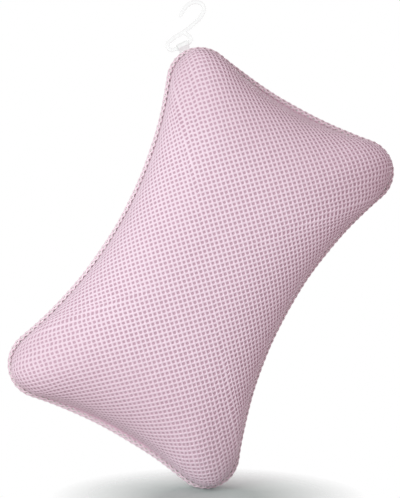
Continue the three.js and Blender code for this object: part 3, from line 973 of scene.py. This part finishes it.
def weave_group():
    """Threads crossing over and under on a flat map; Shade, the same as Height, is painted shade, darker
    where a thread dips under.
    """
    inputs = {"Map": None, "Along": 60.0, "Across": 14.0}
    tree, given, result = new_group("weave", inputs, ("Shade", "Height"))
    place = add(tree, "SeparateXYZ", {0: given["Map"]})
    waves = []
    for axis, count in ((0, "Along"), (1, "Across")):
        turns = math(tree, "MULTIPLY", place.outputs[axis], given[count])
        waves.append(math(tree, "SINE", math(tree, "MULTIPLY", turns, 2 * pi)))
    height = math(tree, "MULTIPLY_ADD", math(tree, "MULTIPLY", *waves), 0.5, 0.5)
    feed(tree, result, Height=height, Shade=height)
    return tree


def moulded_group():
    """Faint flow marks and haze of moulded plastic."""
    tree, given, result = new_group("moulded", {"Place": None, "Scale": 120.0}, ("Haze", "Height"))
    slow = noise(tree, given["Place"], given["Scale"], 1.0)
    fine = noise(tree, given["Place"], math(tree, "MULTIPLY", given["Scale"], 14.0), 2.0)
    haze = math(tree, "MULTIPLY_ADD", slow, 0.7, math(tree, "MULTIPLY", fine, 0.3))
    feed(tree, result, Haze=haze, Height=slow)
    return tree


KNIT, MOTTLE, WEAVE, MOULDED = knit_group(), mottle_group(), weave_group(), moulded_group()


def group(tree, made, inputs):
    return add(tree, "Group", inputs, node_tree=made).outputs


def material(name, **constants):
    """A material with its Principled shader's plain values set, its tree and that shader's inputs."""
    made = bpy.data.materials.new(name)
    made.use_nodes = True
    shader = made.node_tree.nodes["Principled BSDF"]
    for label, value in constants.items():
        shader.inputs[label.replace("_", " ")].default_value = value
    return made, made.node_tree, shader.inputs


def bump(tree, height, distance, strength=1.0):
    inputs = {"Height": height, "Distance": distance, "Strength": strength}
    return add(tree, "Bump", inputs).outputs["Normal"]


def object_place(tree):
    return add(tree, "TexCoord").outputs["Object"]


def mesh_cloth(name, light, deep_and_hole_shade, shade, end_shade):
    """Air mesh: pale filaments on top, with painted shade as deeper colour down in the holes and towards the
    pillow's ends.
    """
    made, tree, shader = material(name, Sheen_Weight=0.1, Sheen_Roughness=0.5, Specular_IOR_Level=0.9)
    cells = add(tree, "UVMap", uv_map="cells").outputs["UV"]
    depth = add(tree, "Attribute", attribute_name="depth").outputs["Fac"]
    knit = group(tree, KNIT, {"Cells": cells})
    mottle = group(tree, MOTTLE, {"Place": object_place(tree), "Scale": 26.0})
    # Painted shade: the colour deepens down the holes by the depth attribute
    colour = blend_colour(tree, math(tree, "MULTIPLY", depth, 0.9), light, deep_and_hole_shade)
    # Painted shade towards the pillow's ends, blended in by distance along X
    from_middle = math(tree, "ABSOLUTE", add(tree, "SeparateXYZ", {0: object_place(tree)}).outputs[0])
    span = {"Value": from_middle, "From Min": END_SHADE_START, "From Max": END_SHADE_FULL, "To Max": END_SHADE_SHARE}
    end_shade_mask = add(tree, "MapRange", span, interpolation_type="SMOOTHSTEP").outputs[0]
    colour = blend_colour(tree, end_shade_mask, colour, end_shade)
    colour = blend_colour(tree, math(tree, "MULTIPLY", mottle["Mottle"], 0.22), colour, shade)
    colour = blend_colour(tree, math(tree, "MULTIPLY", knit["Shade"], 0.16), colour, deep_and_hole_shade)
    rough = math(tree, "MULTIPLY_ADD", mottle["Mottle"], 0.15, 0.42)
    feed(tree, shader, Base_Color=colour, Roughness=rough, Normal=bump(tree, knit["Height"], 0.12 * MM, 0.6))
    return made


def fuzzy_cloth(name, light, dark, scale, fuzz, height):
    made, tree, shader = material(name, Sheen_Weight=0.1, Specular_IOR_Level=0.2)
    mottle = group(tree, MOTTLE, {"Place": object_place(tree), "Scale": scale, "Fuzz": fuzz})
    colour = blend_colour(tree, mottle["Mottle"], light, dark)
    rough = math(tree, "MULTIPLY_ADD", mottle["Mottle"], 0.2, 0.75)
    feed(tree, shader, Base_Color=colour, Roughness=rough, Normal=bump(tree, mottle["Height"], height))
    return made


def woven_cloth(name, light, dark, map_name, along, across, height):
    made, tree, shader = material(name, Sheen_Weight=0.15, Specular_IOR_Level=0.35)
    place = add(tree, "UVMap", uv_map=map_name).outputs["UV"]
    weave = group(tree, WEAVE, {"Map": place, "Along": along, "Across": across})
    mottle = group(tree, MOTTLE, {"Place": object_place(tree), "Scale": 90.0})
    # Painted shade: darker where the threads dip, mixed with the mottle's uneven tone
    shade = math(tree, "MULTIPLY_ADD", weave["Shade"], 0.6, math(tree, "MULTIPLY", mottle["Mottle"], 0.4))
    colour = blend_colour(tree, shade, dark, light)
    rough = math(tree, "MULTIPLY_ADD", mottle["Mottle"], 0.25, 0.4)
    feed(tree, shader, Base_Color=colour, Roughness=rough, Normal=bump(tree, weave["Height"], height))
    return made


def clear_plastic(name, pale, hazy, smooth, rough, scale, height, **constants):
    made, tree, shader = material(name, **constants)
    marks = group(tree, MOULDED, {"Place": object_place(tree), "Scale": scale})
    colour = blend_colour(tree, marks["Haze"], pale, hazy)
    spread = math(tree, "MULTIPLY_ADD", marks["Haze"], rough - smooth, smooth)
    feed(tree, shader, Base_Color=colour, Roughness=spread, Normal=bump(tree, marks["Height"], height, 0.5))
    return made


# Of each mesh's colours, the second is the deeper yarn and painted shade down in the holes, the fourth
# painted shade towards the ends
air_mesh = mesh_cloth(
    "air_mesh", srgb(247, 226, 239), srgb(231, 184, 205), srgb(240, 208, 225), srgb(225, 194, 208))
piping_mesh = mesh_cloth(
    "piping_mesh", srgb(252, 230, 240), srgb(236, 190, 208), srgb(244, 212, 226), srgb(231, 198, 211))
# Painted shade: the stuffed body seen through the holes is coloured darker than the yarn, for the shade down
# in them
inner_layer_painted_shade = fuzzy_cloth("inner_layer_painted_shade", srgb(208, 174, 190), srgb(195, 158, 175), 40.0, 1400.0, 0.2 * MM)
flange_cloth = fuzzy_cloth("flange_cloth", srgb(236, 198, 215), srgb(222, 180, 199), 60.0, 1200.0, 0.2 * MM)
cotton_cord = woven_cloth(
    "cotton_cord", srgb(245, 240, 238), srgb(222, 214, 212), "twist", 1.0, 9.0, 0.05 * MM)
ribbon_satin = woven_cloth(
    "ribbon_satin", srgb(255, 255, 255), srgb(248, 247, 247), "UVMap", 90.0, 22.0, 0.04 * MM)
thread_binding = fuzzy_cloth(
    "thread_binding", srgb(240, 205, 220), srgb(212, 170, 188), 300.0, 2600.0, 0.05 * MM)
backing_felt = fuzzy_cloth("backing_felt", srgb(243, 241, 238), srgb(221, 218, 214), 200.0, 1800.0, 0.1 * MM)
hook_plastic = clear_plastic(
    "hook_plastic", srgb(255, 255, 255), srgb(249, 250, 250), 0.25, 0.4, 160.0, 0.03 * MM,
    Alpha=0.2, IOR=1.49)
clear_vinyl = clear_plastic(
    "clear_vinyl", srgb(247, 249, 250), srgb(228, 233, 236), 0.08, 0.26, 90.0, 0.15 * MM,
    Transmission_Weight=0.92, IOR=1.5)


def dress(finish, slot, *pieces):
    for piece in pieces:
        piece.data.materials.clear()
        piece.data.materials.append(finish)


dress(air_mesh, "air_mesh", front_cover, back_cover)
dress(inner_layer_painted_shade, "air_mesh", body)
dress(piping_mesh, "piping_mesh", piping)
dress(flange_cloth, "piping_mesh", flange)
dress(cotton_cord, "cord", cord)
dress(ribbon_satin, "ribbon", ribbon)
dress(thread_binding, "binding", *eyelets)
dress(clear_vinyl, "clear_vinyl", *cups)
dress(hook_plastic, "hook_plastic", hook)
for disc in discs:
    for holder in disc.material_slots:
        holder.material = backing_felt

# What moves with what
for piece in (body, front_cover, back_cover, piping, flange, cord, *eyelets):
    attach(piece, "pillow")
for number, cup in zip(CUPS, cups):
    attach(cup, f"suction_cup_{number}")
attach(hook, "hang_hook")
on_hanger(0, LOOP_RISE - 1 * MM)
on_hanger(0, LOOP_RISE + 1.2 * MM)
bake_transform(ribbon)

# Camera: it stands a little left of the pillow's front, and the pillow leans in its picture
PIXEL = 0.79 * MM
IMAGE_HEIGHT = 498
LEAN = radians(29.15)
SWING = radians(6)
SWING_WAY = radians(205)  # anticlockwise from the picture's right
CAMERA_DISTANCE = 1.3
TARGET_RIGHT = -2.5 * MM
TARGET_UP = 13.9 * MM
face = Vector((0, -1, 0))
right = Vector((sin(LEAN), 0, -cos(LEAN)))
up = Vector((cos(LEAN), 0, sin(LEAN)))
toward = face * cos(SWING) + (right * cos(SWING_WAY) + up * sin(SWING_WAY)) * sin(SWING)
swing = face.rotation_difference(toward)
right, up = swing @ right, swing @ up
target = Vector((0, SEAM_Y, 0)) + TARGET_RIGHT * right + TARGET_UP * up
camera_data = bpy.data.cameras.new("camera")
camera_data.sensor_width = 36
camera_data.lens = camera_data.sensor_width * CAMERA_DISTANCE / (IMAGE_HEIGHT * PIXEL)
camera = bpy.data.objects.new("camera", camera_data)
scene.collection.objects.link(camera)
scene.camera = camera
camera.matrix_world = (
    Matrix.Translation(target + toward * CAMERA_DISTANCE)
    @ Matrix((right, up, toward)).transposed().to_4x4())

# Light: cool lamps and a warm surround, so that the pink cloth is palest where the lamps reach it
LAMP_TINT = (0.85, 1, 0.97)
SURROUND = (0.36, 0.27, 0.285, 1)
scene.view_settings.view_transform = "Standard"
world = bpy.data.worlds.new("studio")
scene.world = world
world.use_nodes = True
sky = world.node_tree
rays = add(sky, "LightPath").outputs
bent = math(sky, "MAXIMUM", rays["Is Glossy Ray"], rays["Is Transmission Ray"])
seen = math(sky, "MAXIMUM", rays["Is Camera Ray"], bent)
sky.links.new(blend_colour(sky, seen, SURROUND, (1, 1, 1, 1)), sky.nodes["Background"].inputs["Color"])


def area_lamp(name, direction, away, size, energy):
    data = bpy.data.lights.new(name, "AREA")
    data.energy = energy
    data.color = LAMP_TINT
    data.size = size
    lamp = bpy.data.objects.new(name, data)
    scene.collection.objects.link(lamp)
    turn = direction.normalized().to_track_quat("Z", "Y").to_matrix().to_4x4()
    lamp.matrix_world = Matrix.Translation(target + direction.normalized() * away) @ turn


area_lamp("key", -0.55 * right + 0.2 * up + 0.8 * toward, 1.3, 0.8, 11.2)
area_lamp("front", 0.1 * up + toward, 1.3, 0.8, 3.8)
area_lamp("back_fill", 0.4 * right + 0.15 * up - 1.0 * toward, 1.5, 1.0, 13)

# Floor: just under the lowest corner, turned so that the camera sees it at a low angle; a grey disc, clear at
# its edge, that paints a soft shadow round the pillow's real one
FLOOR_TURN = radians(3)
FLOOR_RADIUS = 0.121
FLOOR_FORWARD = 0.03  # from the lowest corner towards the camera
floor_up = up * cos(FLOOR_TURN) + toward * sin(FLOOR_TURN)
outer_points = np.concatenate([points_of(front_cover), points_of(back_cover), points_of(piping)])
lowest = outer_points[np.argmin(outer_points @ np.array(floor_up))]
floor_middle = Vector(lowest) + FLOOR_FORWARD * (toward * cos(FLOOR_TURN) - up * sin(FLOOR_TURN))
bpy.ops.object.select_all(action="DESELECT")
bpy.ops.mesh.primitive_circle_add(vertices=96, radius=FLOOR_RADIUS, fill_type="NGON")
floor = bpy.context.object
floor.name = "floor"
floor.matrix_world = Matrix.Translation(floor_middle) @ floor_up.to_track_quat("Z", "Y").to_matrix().to_4x4()


def painted_shadow_floor():
    made = bpy.data.materials.new("painted_shadow_floor")
    made.use_nodes = True
    tree = made.node_tree
    tree.nodes.clear()
    # Painted shadow: the disc is grey and fades to clear from 0.3 of its radius outwards; its green tint
    # offsets the pink light the pillow bounces onto it
    away = add(tree, "VectorMath", {0: object_place(tree)}, operation="LENGTH").outputs["Value"]
    shadow_fade = add(tree, "MapRange", {0: away, 1: 0.3 * FLOOR_RADIUS, 2: FLOOR_RADIUS, 3: 1.0, 4: 0.0}).outputs[0]
    behind = add(tree, "NewGeometry").outputs["Backfacing"]
    shown = math(tree, "MULTIPLY", shadow_fade, math(tree, "SUBTRACT", 1.0, behind))
    grain = noise(tree, object_place(tree), 300.0)
    colour = blend_colour(tree, grain, (0.63, 0.7, 0.675, 1), (0.6, 0.67, 0.645, 1))
    shadow_paint = add(tree, "BsdfDiffuse", {"Color": colour}).outputs[0]
    clear = add(tree, "BsdfTransparent").outputs[0]
    surface = add(tree, "MixShader", {0: shown, 1: clear, 2: shadow_paint}).outputs[0]
    add(tree, "OutputMaterial", {"Surface": surface})
    return made


floor.data.materials.append(painted_shadow_floor())
